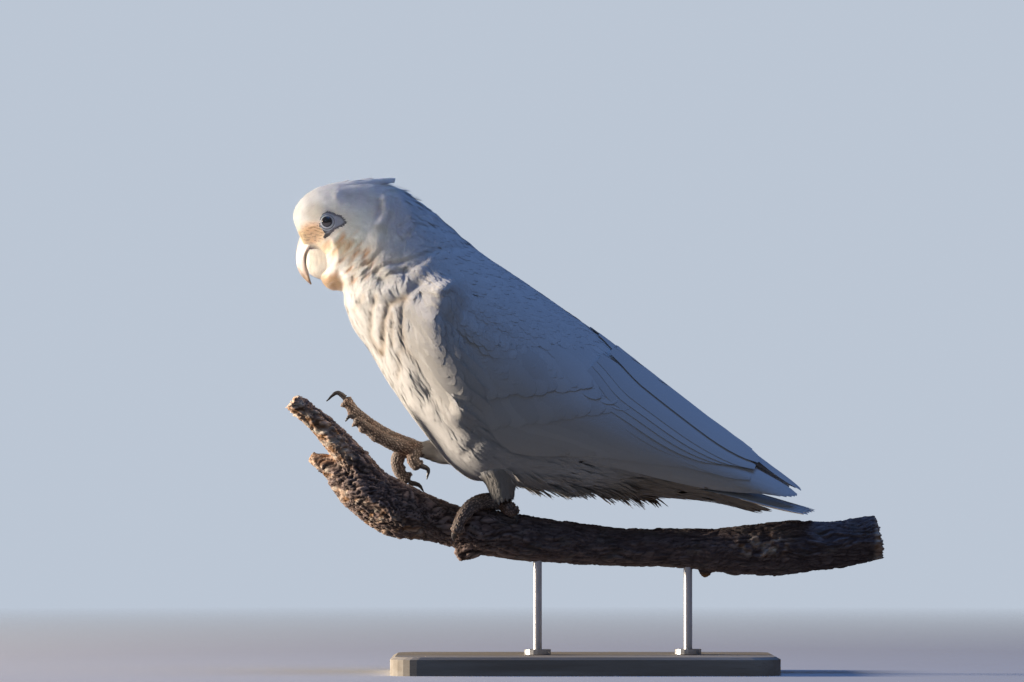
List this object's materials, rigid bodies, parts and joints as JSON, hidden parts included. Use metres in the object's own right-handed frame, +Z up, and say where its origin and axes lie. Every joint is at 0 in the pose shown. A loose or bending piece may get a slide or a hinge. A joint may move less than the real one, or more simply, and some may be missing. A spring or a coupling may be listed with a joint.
{
  "type": "little corella (white cockatoo) model",
  "caption": "Life-size still model of a small white cockatoo walking along a cut branch, one foot raised, on a flat stand with rods.",
  "frame": {"origin": "on the floor, under the middle of the whole model with its stand", "axes": "+Z up, -X the way the bird faces and walks, -Y its left side, +X along the cut branch towards the tail"},
  "size_m": [0.3555, 0.124, 0.2971],
  "materials": {
    "plumage": "soft matt white feathers with a faint cream tint",
    "bill_horn": "pale greyish horn, satin",
    "eye": "dark brown-black, wet gloss",
    "foot_scale": "grey-brown scaly skin",
    "claw_horn": "dark grey horn",
    "bark": "rough weathered bark with paler broken ends",
    "stand_wood": "satin light warm grey paint",
    "stand_metal": "brushed steel rod"
  },
  "bodies": {
    "root": {"head": "plumage", "neck": "plumage", "trunk": "plumage", "tail": "plumage", "crest": "plumage", "wing_left_coverts": "plumage", "wing_left_flight": "plumage", "wing_right_coverts": "plumage", "wing_right_flight": "plumage", "thigh_left": "plumage", "thigh_right": "plumage", "bill_upper": "bill_horn", "bill_lower": "bill_horn", "eye_left": "eye", "eye_right": "eye", "foot_left": "foot_scale", "foot_right": "foot_scale", "claw_left_1": "claw_horn", "claw_left_2": "claw_horn", "claw_left_3": "claw_horn", "claw_left_4": "claw_horn", "claw_right_1": "claw_horn", "claw_right_2": "claw_horn", "claw_right_3": "claw_horn", "claw_right_4": "claw_horn", "perch_branch": "bark", "stand_base": "stand_wood", "stand_rod_front": "stand_metal", "stand_rod_rear": "stand_metal"}
  },
  "joints": []
}
